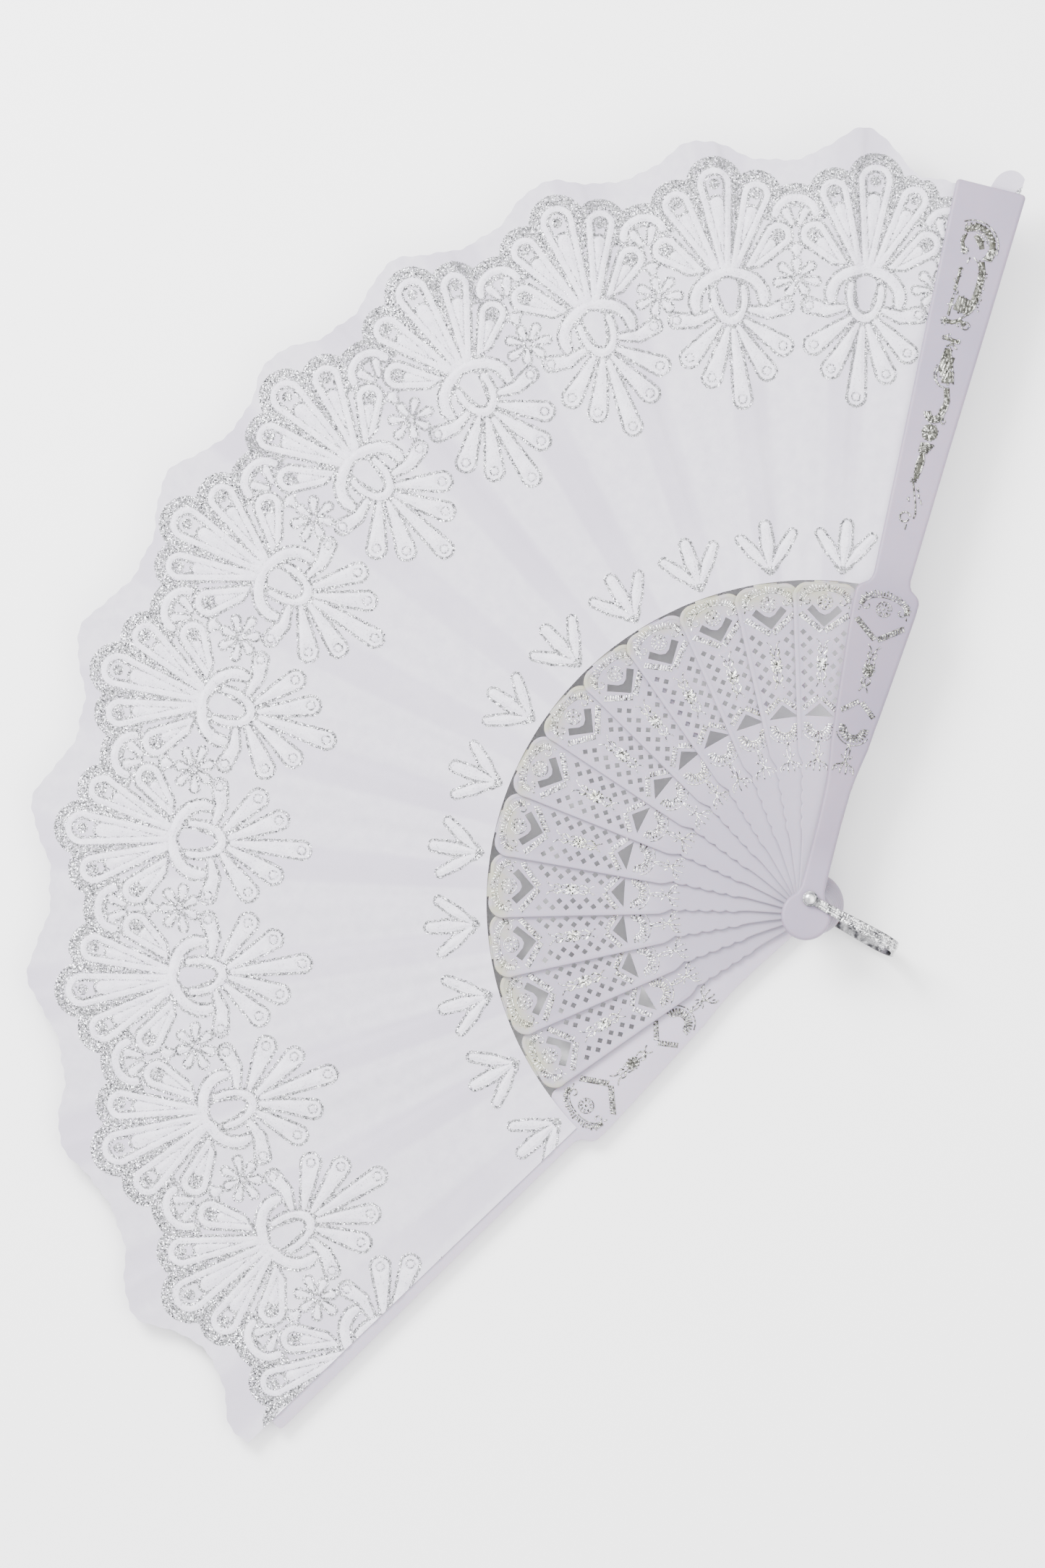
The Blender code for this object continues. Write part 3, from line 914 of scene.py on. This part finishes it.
def ring(distance, inset, half):
    """A band along a shape's edge, inset from it."""
    return np.abs(distance + inset) - half


def nearest(*shapes):
    best = shapes[0]
    for shape in shapes[1:]:
        best = np.minimum(best, shape)
    return best


def motif(x, y):
    """One great flower of the border: the print's shapes and the extra glitter, as distances."""
    u = np.abs(x)
    petals, tears, balls = [], [], []
    for base, tip, base_half, tip_half in (
        ((0, 9.6), (0, 34.2), 1.6, 5.0),
        ((2.9, 8.9), (11.9, 29.4), 1.2, 4.2),
        ((6.0, 6.6), (16.8, 16.4), 1.1, 3.9),
    ):
        petals.append(stroke(u, y, [base, tip], [base_half, tip_half]))
        run = np.array(tip) - np.array(base)
        root, head, ball = (np.array(base) + run * share for share in (0.08, 0.76, 1.0))
        tears.append(stroke(u, y, [root, head], [0.35, tip_half * 0.38]))
        balls.append(np.hypot(u - ball[0], y - ball[1]) - tip_half * 0.36)
    tears, balls, outline = nearest(*tears), nearest(*balls), nearest(*petals)
    loops = ring(outline, 0.85, 0.8)
    loops = nearest(loops, *(np.maximum(ring(petal, 0.85, 0.8), -(outline + 2.4)) for petal in petals))
    loops = np.where(y < 8.4, np.maximum(loops, 8.4 - y), loops)
    arch = arc((0, 0), 1, -12, 192, 16)
    arch = stroke(x, y, [(px * 10.3, py * 8.2 - 0.9) for px, py in arch], [1.0] + [1.35] * 15 + [1.0])
    cup = arc((0, 0), 1, 165, 375, 14)
    cup = [(px * 4.6, py * 7.6 + 0.3) for px, py in cup]
    cup = stroke(x, y, cup, [0.8] * 5 + [1.1] * 5 + [0.8] * 5)
    drops, rings = [], []
    for points, halves in (
        ([(0, -10.4), (0, -20), (0, -31.0)], [0.7, 1.5, 2.3]),
        ([(1.6, -9.4), (4.4, -15.8), (8.2, -23.4)], [0.6, 1.5, 2.4]),
        ([(3.8, -7.8), (8.6, -12.0), (13.9, -16.6)], [0.6, 1.6, 2.5]),
        ([(5.8, -4.6), (11.0, -6.0), (16.3, -4.9)], [0.7, 1.4, 1.9]),
    ):
        drops.append(stroke(u, y, points, halves))
        rings.append(np.abs(np.hypot(u - points[-1][0], y - points[-1][1]) - 1.25) - 0.3)
    drops, rings = nearest(*drops), nearest(*rings)
    oval = stroke(x, y, [(0, -3.6), (0, 2.6)], [2.0, 3.6])
    puff = nearest(loops, np.maximum(tears, outline + 2.1), arch, cup, drops)
    for bare in (balls, rings, oval - 0.3):
        puff = np.maximum(puff, -bare)
    border = np.maximum(ring(nearest(petals[0], petals[1]), -2.15, 1.3), 25.0 - 0.25 * u - y)
    glitter = nearest(ring(puff, -0.48, 0.46), balls + 0.15, rings, ring(oval, 0.1, 0.35), border)
    return puff, glitter


def between_motifs(x, y):
    """What fills the space between two great flowers: a small arch, and a little flower below it."""
    u = np.abs(x)
    crown = [(px * 6.0, py * 5.2 + 23.2) for px, py in arc((0, 0), 1, 5, 175, 10)]
    crown = stroke(x, y, crown, 1.0)
    lobe = stroke(u, y, [(1.2, 20.6), (2.9, 24.2)], [0.5, 1.0])
    cluster = []
    for turned, reach in ((90, 4.6), (38, 5.4), (-12, 5.8), (-62, 4.6)):
        away = math.radians(turned)
        far = (math.cos(away) * reach, 4.2 + math.sin(away) * reach)
        cluster.append(stroke(u, y, [(far[0] * 0.35, 4.2 + (far[1] - 4.2) * 0.35), far], [0.5, 1.25]))
    cluster.append(stroke(x, y, [(0, 11.6), (0, 13.0)], [0.9, 1.6]))
    cluster.append(stroke(u, y, [(1.6, 13.4), (3.0, 14.6)], [0.6, 1.0]))
    cluster = nearest(*cluster)
    border = np.maximum(ring(crown, -2.15, 1.2), 25.5 - y)
    puff = nearest(crown, lobe, cluster + 0.3)
    middle = np.abs(np.hypot(u, y - 4.2) - 1.0) - 0.4
    curl = np.abs(np.hypot(u - 2.2, y + 3.6) - 1.2) - 0.3
    glitter = nearest(ring(puff, -0.45, 0.4), border, middle, curl)
    return puff, glitter


def sprig(x, y):
    """The small three-leaved sprig near the sticks."""
    u = np.abs(x)
    leaves = nearest(
        stroke(x, y, [(0, 1.4), (0, 7.6), (0, 13.2)], [0.5, 1.6, 1.3]),
        stroke(u, y, [(1.0, 1.2), (4.2, 5.6), (7.7, 10.2)], [0.45, 1.35, 0.95]),
    )
    root = stroke(u, y, [(0, -0.6), (2.2, 0.8)], [1.1, 0.6])
    return leaves, nearest(ring(leaves, -0.42, 0.42), root)


def local_place(radius, angle, start, step, offset, centre_radius):
    """Each place measured from the nearest repeat of a motif, across it and outwards."""
    turned = (angle - start - offset * step) / step
    turned = np.radians((turned - np.round(turned)) * step)
    return radius * np.sin(turned), radius * np.cos(turned) - centre_radius


def printed_shapes(radius, angle):
    """The print's and the glitter's depth at each place of the leaf, positive inside."""
    puff, glitter = motif(*local_place(radius, angle, MOTIF_START, MOTIF_STEP, 0, MOTIF_RADIUS))
    more_puff, more_glitter = between_motifs(
        *local_place(radius, angle, MOTIF_START, MOTIF_STEP, 0.5, MOTIF_RADIUS)
    )
    more_puff = np.maximum(more_puff, 1.2 - puff)
    more_glitter = np.maximum(more_glitter, 0.4 - puff)
    leaves, roots = sprig(*local_place(radius, angle, SPRIG_START, SPRIG_STEP, 0, SPRIG_RADIUS))
    puff = nearest(puff, more_puff, leaves)
    glitter = nearest(glitter, more_glitter, roots)
    glitter = np.maximum(glitter, -puff + 0.05)
    return -puff, -glitter


def smoothstep(t):
    t = np.clip(t, 0, 1)
    return t * t * (3 - 2 * t)


def leaf_level(index):
    """The height of the cloth's underside where it is glued to a stick or guard."""
    return heights(f"leaf_{index:02d}")[0]


def outward_share(radius):
    """0 at the leaf's inner edge, rising to 1 at its outer edge."""
    return np.clip((radius - LEAF_INNER) / LEAF_DEPTH, 0, 1)


def pleat_profile(share, radius):
    """How far the cloth stands off the straight line between two ribs: a short fall, then a long rise.

    The share is how far a place is from the left rib to the right one.
    """
    fall = smoothstep((share + 0.09) / 0.40)
    rise = smoothstep((share - 0.31) / 0.60)
    after = smoothstep((share - 0.91) / 0.40)
    return (rise - fall - after) * (0.25 + 1.1 * outward_share(radius))


def first_profile(share, radius):
    """The first pleat lies flat on the rear guard and only sags a little beyond it."""
    sag = smoothstep((share - 0.36) / 0.25) * (1 - smoothstep((share - 0.62) / 0.3))
    return -sag * 0.6 * outward_share(radius)


def fold_shade(position):
    """Painted fold shade, stronger on the short face of a pleat, where the rib also shows through."""
    short_face = smoothstep((position + 0.12) / 0.08) * (1 - smoothstep((position - 0.24) / 0.10))
    return short_face + smoothstep((position - 0.88) / 0.08)


def make_pleat(index):
    """The cloth from one stick to the next, pleated and printed.

    Its rows run across it and are close where there is print. The last ones follow the scallops.
    """
    left, right = ANGLES[index], ANGLES[index + 1]
    gap = left - right
    over_left = LEAF_PAST_REAR_GUARD if index == 0 else 0
    over_right = LEAF_PAST_FRONT_GUARD if index == LAST - 1 else 0
    columns = round((gap + over_left + over_right) * COLUMNS_PER_DEGREE)
    across = np.linspace(left + over_left, right - over_right, columns + 1)
    rows = np.concatenate([
        np.arange(LEAF_INNER, SPRIGS_END, 0.55),
        np.arange(SPRIGS_END, BORDER_START, 1.4),
        np.arange(BORDER_START, EVEN_ROWS_END, 0.5),
    ])
    edge = edge_radius(across)
    share = np.linspace(0, 1, 20)[1:]
    inner = np.repeat(rows[:, None], columns + 1, axis=1)
    outer = rows[-1] + (edge[None, :] - rows[-1]) * share[:, None]
    radius = np.vstack([inner, outer])
    angle = np.repeat(across[None, :], radius.shape[0], axis=0)
    puff, glitter = printed_shapes(radius, angle)
    glitter = np.minimum(glitter, np.where(radius > edge[None, :] - 0.8, -1, 9))

    position = (left - angle) / gap
    climb = leaf_level(index + 1) - leaf_level(index)
    level = leaf_level(index) + climb * np.clip(position, 0, 1)
    near_rib = np.minimum(np.abs(left - angle), np.abs(angle - right)) * math.pi / 180 * radius
    on_guard = (angle > left) | (angle < right)
    free = smoothstep((near_rib - GLUED_HALF) / 3.0) * np.where(on_guard, 0, 1)
    soft = 0.16 * np.sin(angle * 0.9 + radius * 0.035) + 0.07 * np.sin(angle * 2.3 - radius * 0.05)
    profile = first_profile if index == 0 else pleat_profile
    height = level + free * (profile(position, radius) + soft * (0.3 if index == 0 else 1))
    front = height + CLOTH_THICKNESS + (
        PRINT_RISE * smoothstep(puff / 0.9) + GLITTER_RISE * smoothstep((glitter + 0.1) / 0.35)
    )

    turned = np.radians(angle)
    x, y = radius * np.cos(turned), radius * np.sin(turned)
    count_rows, count_columns = radius.shape
    top = np.stack([x, y, front], -1).reshape(-1, 3)
    bottom = np.stack([x, y, height], -1).reshape(-1, 3)
    points = np.vstack([top, bottom]) * MM
    grid = np.arange(count_rows * count_columns).reshape(count_rows, count_columns)
    faces = np.stack([grid[:-1, :-1], grid[1:, :-1], grid[1:, 1:], grid[:-1, 1:]], -1).reshape(-1, 4)
    under = faces[:, ::-1] + grid.size
    rim = np.concatenate([grid[0, :-1], grid[:-1, -1], grid[-1, :0:-1], grid[:0:-1, 0]])
    ahead = np.roll(rim, -1)
    walls = np.stack([rim, ahead, ahead + grid.size, rim + grid.size], -1)
    mesh = bpy.data.meshes.new(f"leaf_pleat_{index + 1:02d}")
    mesh.from_pydata(points.tolist(), [], np.vstack([faces, under, walls]).tolist())
    mesh.validate()
    unprinted = np.full(grid.size, -3.0)
    for name, values in (
        ("puff_depth", np.concatenate([puff.ravel(), unprinted])),
        ("glitter_depth", np.concatenate([glitter.ravel(), unprinted])),
        ("across", np.tile(((left - angle) * radius * math.pi / 180).ravel(), 2) * MM),
        ("outwards", np.tile(radius.ravel(), 2) * MM),
        ("fold_shade", np.tile(fold_shade(position).ravel(), 2)),
    ):
        attribute = mesh.attributes.new(name, "FLOAT", "POINT")
        attribute.data.foreach_set("value", values.astype(np.float32))
    pleat = bpy.data.objects.new(mesh.name, mesh)
    bpy.context.scene.collection.objects.link(pleat)
    mesh.materials.append(CLOTH)
    smooth(pleat, 55)
    # The grid is wound from left to right, so its faces point inwards until they are turned.
    mesh.flip_normals()
    cover_pleat(pleat, index)


def cover_pleat(pleat, index):
    """Puts a pleat in its CAD panel's place, hiding the panel and baking its transform into its mesh.
    """
    left, right = ANGLES[index], ANGLES[index + 1]
    middle = math.radians((left + right) / 2)
    half = LEAF_INNER * math.sin(math.radians((left - right) / 2)) * MM
    nodes = [f"leaf_{index:02d}"] + ([f"leaf_{LAST:02d}"] if index == LAST - 1 else [])
    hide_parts(*nodes)
    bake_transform(pleat)


# ---- rivet and loop


DOME_HEIGHT = 1.3
DOME_RADIUS = 1.8
LOOP_THICKNESS = 0.7
LOOP_CORNER = 6.0
LOOP_NECK = 2.6
LOOP_EYE = 2.25
LOOP_DIRECTION = -88.0
BEND_STEPS = 10
ENGRAVED_FROM = 3.6
ENGRAVED_STEP = 0.85


def make_rivet():
    """The rivet, drawn up ring by ring from its flat head to its dome."""
    low, high = heights("pivot_rivet")
    front = high - DOME_HEIGHT
    rings = [(2.35, low), (2.6, low + 0.25), (2.6, low + 0.62), (2.42, low + 0.8), (1.5, low + 0.8)]
    rings += [(1.5, front), (1.7, front), (DOME_RADIUS, front + 0.15)]
    for t in (0.25, 0.5, 0.75, 1.0, 1.2, 1.38, 1.5):
        rings.append((DOME_RADIUS * math.cos(t), front + 0.3 + math.sin(t)))
    deselect()
    bpy.ops.mesh.primitive_circle_add(vertices=48, radius=rings[0][0] * MM, location=(0, 0, low * MM))
    obj = added("domed_pivot_rivet")
    bpy.ops.object.transform_apply(location=True, rotation=False, scale=False)
    edit(obj)
    select_all()
    bpy.ops.mesh.edge_face_add()
    bpy.ops.mesh.select_mode(type="EDGE")
    pick("edges", lambda middle, edge: True)
    for (before, z), (after, next_z) in zip(rings, rings[1:]):
        move = {"value": (0, 0, (next_z - z) * MM)}
        bpy.ops.mesh.extrude_edges_move(TRANSFORM_OT_translate=move)
        ratio = after / before
        bpy.ops.transform.resize(value=(ratio, ratio, 1), center_override=(0, 0, next_z * MM))
    bpy.ops.mesh.edge_face_add()
    face_outwards()
    done()
    smooth(obj, 32)
    finish_piece(obj, BRIGHT_STEEL, BODIES[0])
    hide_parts("pivot_rivet")


def loop_width(v):
    """The strip's width, slim at the neck and broader round the bend."""
    return LOOP_NECK + 0.95 * smoothstep(v / 24.0)


def make_loop():
    """The loop: a strip drawn out from the front eye, bent twice and drawn back to the rear eye."""
    low, high = heights("bail_loop")
    length = -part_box("bail_loop")[0][1] / MM
    top, bottom = high - LOOP_THICKNESS / 2, low + LOOP_THICKNESS / 2
    straight = length - LOOP_CORNER - LOOP_THICKNESS / 2
    deselect()
    bpy.ops.mesh.primitive_plane_add(size=MM, location=(0, 0, top * MM), rotation=(math.pi / 2, 0, 0))
    strip = added("engraved_bail_loop")
    strip.scale = (LOOP_NECK, LOOP_THICKNESS, 1)
    bpy.ops.object.transform_apply(location=True, rotation=True, scale=True)
    edit(strip)
    select_all()

    def draw_out(offset):
        step = [part * MM / BEND_STEPS for part in offset]
        for _ in range(BEND_STEPS):
            bpy.ops.mesh.extrude_region_move(TRANSFORM_OT_translate={"value": step})

    def bend(height):
        for _ in range(BEND_STEPS):
            bpy.ops.mesh.extrude_region_move(TRANSFORM_OT_translate={"value": (0, 0, 0)})
            bpy.ops.transform.rotate(
                value=math.pi / (2 * BEND_STEPS), orient_axis="X", orient_type="GLOBAL",
                center_override=(0, straight * MM, height * MM),
            )

    draw_out((0, straight, 0))
    bend(top - LOOP_CORNER)
    draw_out((0, 0, -(top - bottom - 2 * LOOP_CORNER)))
    bend(bottom + LOOP_CORNER)
    draw_out((0, -straight, 0))
    select_all()
    bpy.ops.mesh.remove_doubles(threshold=0.001 * MM)
    face_outwards()
    done()
    for corner in strip.data.vertices:
        corner.co.x *= loop_width(corner.co.y / MM) / LOOP_NECK
    eye_half = LOOP_THICKNESS / 2 + 0.002
    for z in (top, bottom):
        cut(strip, plate("eye", circle((0, 0), LOOP_EYE, 40), z - eye_half, z + eye_half), "UNION")
    cut(strip, plate("drill", circle((0, 0), PIN_HOLE, 32), -2, high + 2))
    soften(strip, 0.14, 2, 50)
    smooth(strip, 40)
    turn = Matrix.Rotation(math.radians(LOOP_DIRECTION - 90), 4, "Z")
    strip.data.transform(turn)
    finish_piece(strip, STEEL, "bail_body")
    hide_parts("bail_loop")
    engrave_loop(straight, top, bottom, turn)


def engrave_loop(straight, top, bottom, turn):
    """Raised leaves and beads along the loop's outer face, in pairs about a wavy stem."""
    half = LOOP_THICKNESS / 2
    drop = top - bottom - 2 * LOOP_CORNER
    quarter = math.pi / 2 * LOOP_CORNER
    total = 2 * straight + 2 * quarter + drop

    def place(run):
        """Where the outer face is at a distance along the strip, and its slope."""
        reach = LOOP_CORNER + half
        if run < straight:
            return run, top + half, 0.0
        if run < straight + quarter:
            turned = (run - straight) / LOOP_CORNER
            z = top - LOOP_CORNER + reach * math.cos(turned)
            return straight + reach * math.sin(turned), z, turned
        if run < straight + quarter + drop:
            z = top - LOOP_CORNER - (run - straight - quarter)
            return straight + LOOP_CORNER + half, z, math.pi / 2
        if run < straight + 2 * quarter + drop:
            turned = math.pi / 2 + (run - straight - quarter - drop) / LOOP_CORNER
            z = bottom + LOOP_CORNER + reach * math.cos(turned)
            return straight + reach * math.sin(turned), z, turned
        return straight - (run - straight - 2 * quarter - drop), bottom - half, math.pi

    deselect()
    bpy.ops.mesh.primitive_uv_sphere_add(segments=8, ring_count=5, radius=MM / 2)
    marks = added("engraving_on_bail_loop")
    edit(marks)
    bpy.ops.mesh.delete(type="VERT")
    jitter = random.Random(11)
    count = int((total - 7.0) / ENGRAVED_STEP)
    for i in range(count):
        v, z, slope = place(ENGRAVED_FROM + ENGRAVED_STEP * i)
        side = 1 if i % 2 else -1
        room = loop_width(v) / 2
        for shift, long, wide, lean in (
            (0.45 * side * room, 1.7, 0.62, 38 * side),
            (-0.5 * side * room, 1.0, 0.55, -30 * side),
            (0.8 * side * room, 0.7, 0.45, 10 * side),
            (0.0, 0.8, 0.4, 55 * side),
        ):
            bpy.ops.mesh.primitive_uv_sphere_add(segments=8, ring_count=5, radius=MM / 2)
            lean += jitter.uniform(-42, 42)
            long *= jitter.uniform(0.7, 1.15)
            wide *= jitter.uniform(0.75, 1.2)
            shape = Matrix.Rotation(math.radians(90 + lean), 4, "Z")
            shape = shape @ Matrix.Diagonal((long, wide, 0.34, 1))
            spot = Matrix.Translation((shift * MM, v * MM, z * MM))
            spot = spot @ Matrix.Rotation(-slope, 4, "X") @ shape
            work = bmesh.from_edit_mesh(marks.data)
            for corner in work.verts:
                if corner.select:
                    corner.co = spot @ corner.co
            bmesh.update_edit_mesh(marks.data)
    done()
    smooth(marks, 60)
    marks.data.transform(turn)
    finish_piece(marks, BRIGHT_STEEL, "bail_body")


# ---- floor, light and camera


def make_stage():
    deselect()
    bpy.ops.mesh.primitive_plane_add(size=6, location=(0, 0.1, -0.0004))
    floor = added("floor")
    bpy.ops.object.transform_apply(location=True, rotation=False, scale=False)
    finish = Finish("pale_floor", Roughness=0.9)
    cloud = finish.noise(3, 2)
    finish.set(Base_Color=finish.mix(cloud, (0.93, 0.93, 0.93, 1), (0.95, 0.95, 0.95, 1)))
    floor.data.materials.append(finish.material)

    world = bpy.data.worlds.new("studio")
    world.use_nodes = True
    tree = world.node_tree
    place = tree.nodes.new("ShaderNodeTexCoord")
    parts = tree.nodes.new("ShaderNodeSeparateXYZ")
    ramp = tree.nodes.new("ShaderNodeValToRGB")
    ramp.color_ramp.elements[0].color = (0.10, 0.10, 0.11, 1)
    ramp.color_ramp.elements[1].color = (1, 1, 1, 1)
    ramp.color_ramp.elements[1].position = 0.75
    tree.links.new(place.outputs["Generated"], parts.inputs[0])
    tree.links.new(parts.outputs["Z"], ramp.inputs[0])
    tree.links.new(ramp.outputs[0], tree.nodes["Background"].inputs[0])
    tree.nodes["Background"].inputs[1].default_value = 3.1
    bpy.context.scene.world = world
    for name, place, size, power in (
        ("key", (0.2, 0.95, 0.85), 0.6, 36.0),
        ("fill", (-0.2, -0.8, 0.9), 0.9, 8.0),
    ):
        lamp = bpy.data.lights.new(name, "AREA")
        lamp.size = size
        lamp.energy = power
        light = bpy.data.objects.new(name, lamp)
        light.location = place
        aim = Vector((0, 0.1, 0)) - Vector(place)
        light.rotation_euler = aim.to_track_quat("-Z", "Y").to_euler()
        bpy.context.scene.collection.objects.link(light)


def make_camera():
    """Looks down on the open fan, a little from the rivet's side, with the rivet low and right."""
    target = Vector((-0.0136, 0.0906, 0.011))
    turned = math.radians(31.15)
    up = Vector((math.cos(turned), math.sin(turned), 0))
    tilt = math.radians(7)
    distance = 3.0
    view_height = 0.4630
    away = (Vector((0, 0, 1)) * math.cos(tilt) - up * math.sin(tilt)).normalized()
    lens = bpy.data.cameras.new("camera")
    lens.sensor_fit = "VERTICAL"
    lens.sensor_height = 36
    lens.sensor_width = 24
    lens.lens = lens.sensor_height * distance / view_height
    lens.clip_start = 0.05
    camera = bpy.data.objects.new("camera", lens)
    camera.location = target + away * distance
    side = up.cross(away).normalized()
    over = away.cross(side).normalized()
    camera.rotation_euler = Matrix((side, over, away)).transposed().to_euler()
    bpy.context.scene.collection.objects.link(camera)
    bpy.context.scene.camera = camera


make_camera()
make_stage()
make_guards()
make_sticks()
for number in range(LAST):
    make_pleat(number)
make_rivet()
make_loop()
deselect()
